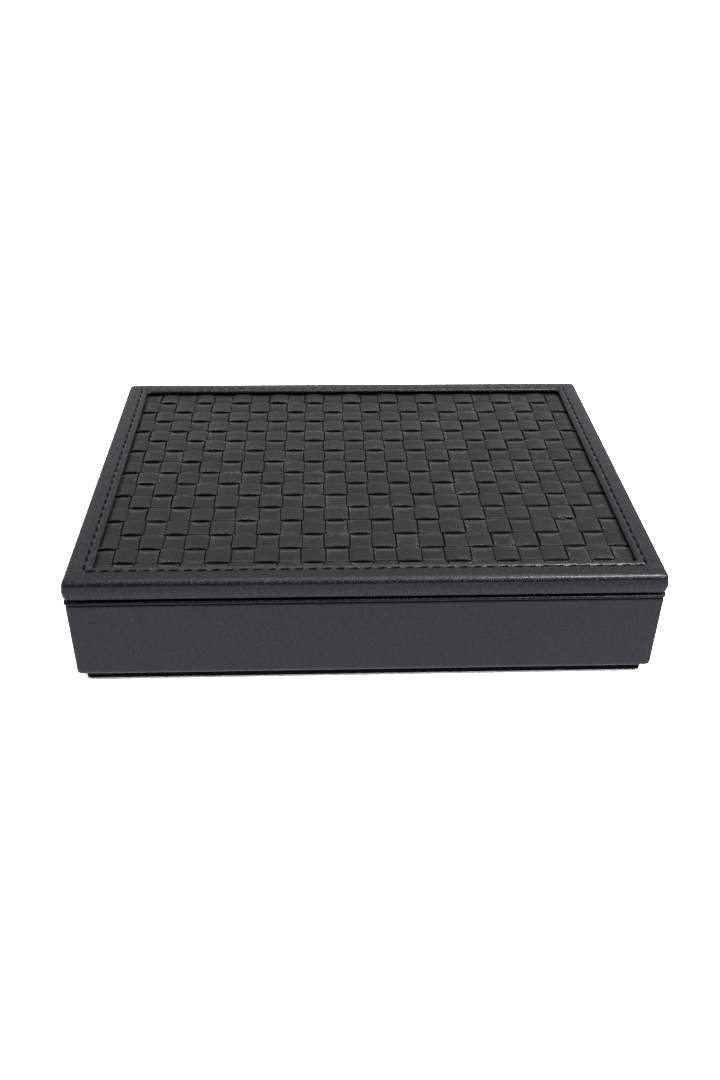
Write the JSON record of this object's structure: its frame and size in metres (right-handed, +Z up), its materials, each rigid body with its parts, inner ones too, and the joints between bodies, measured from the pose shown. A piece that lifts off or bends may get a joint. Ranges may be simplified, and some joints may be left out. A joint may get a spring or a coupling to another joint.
{
  "type": "hinged leather keepsake box",
  "caption": "Low rectangular leather-covered box with a hinged lid, whose top holds a woven leather panel in a stitched border.",
  "frame": {"origin": "middle of the underside of the base pad, on the surface that the box stands on", "axes": "+X to the box's right as seen from the front, +Y from the front to the hinged back, +Z up"},
  "size_m": [0.305, 0.2337, 0.065],
  "materials": {
    "leather": "black, finely grained, satin",
    "woven_leather": "black, smooth strips, satin",
    "suede_lining": "short black suede nap",
    "pad_felt": "black felt",
    "fibreboard": "raw medium-density fibreboard",
    "hinge_metal": "nickel-plated, satin"
  },
  "bodies": {
    "box": {"base_felt_pad": "pad_felt", "base_board": "fibreboard", "front_wall_board": "fibreboard", "back_wall_board": "fibreboard", "left_wall_board": "fibreboard", "right_wall_board": "fibreboard", "body_leather_wrap": "leather", "rim_leather_strip": "leather", "floor_lining_pad": "suede_lining", "wall_lining": "suede_lining", "hinge_body_leaf_left": "hinge_metal", "hinge_body_leaf_right": "hinge_metal", "hinge_pin_left": "hinge_metal", "hinge_pin_right": "hinge_metal"},
    "lid": {"lid_core_board": "fibreboard", "lid_edge_filler": "fibreboard", "lid_border_leather": "leather", "lid_lining_panel": "suede_lining", "hinge_lid_leaf_left": "hinge_metal", "hinge_lid_leaf_right": "hinge_metal", "warp_strip_01": "woven_leather", "warp_strip_02": "woven_leather", "warp_strip_03": "woven_leather", "warp_strip_04": "woven_leather", "warp_strip_05": "woven_leather", "warp_strip_06": "woven_leather", "warp_strip_07": "woven_leather", "warp_strip_08": "woven_leather", "warp_strip_09": "woven_leather", "warp_strip_10": "woven_leather", "warp_strip_11": "woven_leather", "warp_strip_12": "woven_leather", "warp_strip_13": "woven_leather", "warp_strip_14": "woven_leather", "warp_strip_15": "woven_leather", "warp_strip_16": "woven_leather", "warp_strip_17": "woven_leather", "warp_strip_18": "woven_leather", "warp_strip_19": "woven_leather", "warp_strip_20": "woven_leather", "warp_strip_21": "woven_leather", "warp_strip_22": "woven_leather", "warp_strip_23": "woven_leather", "weft_strip_01": "woven_leather", "weft_strip_02": "woven_leather", "weft_strip_03": "woven_leather", "weft_strip_04": "woven_leather", "weft_strip_05": "woven_leather", "weft_strip_06": "woven_leather", "weft_strip_07": "woven_leather", "weft_strip_08": "woven_leather", "weft_strip_09": "woven_leather", "weft_strip_10": "woven_leather", "weft_strip_11": "woven_leather", "weft_strip_12": "woven_leather", "weft_strip_13": "woven_leather", "weft_strip_14": "woven_leather", "weft_strip_15": "woven_leather", "weft_strip_16": "woven_leather"}
  },
  "joints": [
    {"name": "lid_hinge", "type": "hinge", "parent": "box", "child": "lid", "pos_m": [0, 0.1175, 0.0533], "axis": [-1, 0, 0], "range_deg": [0, 95]}
  ]
}
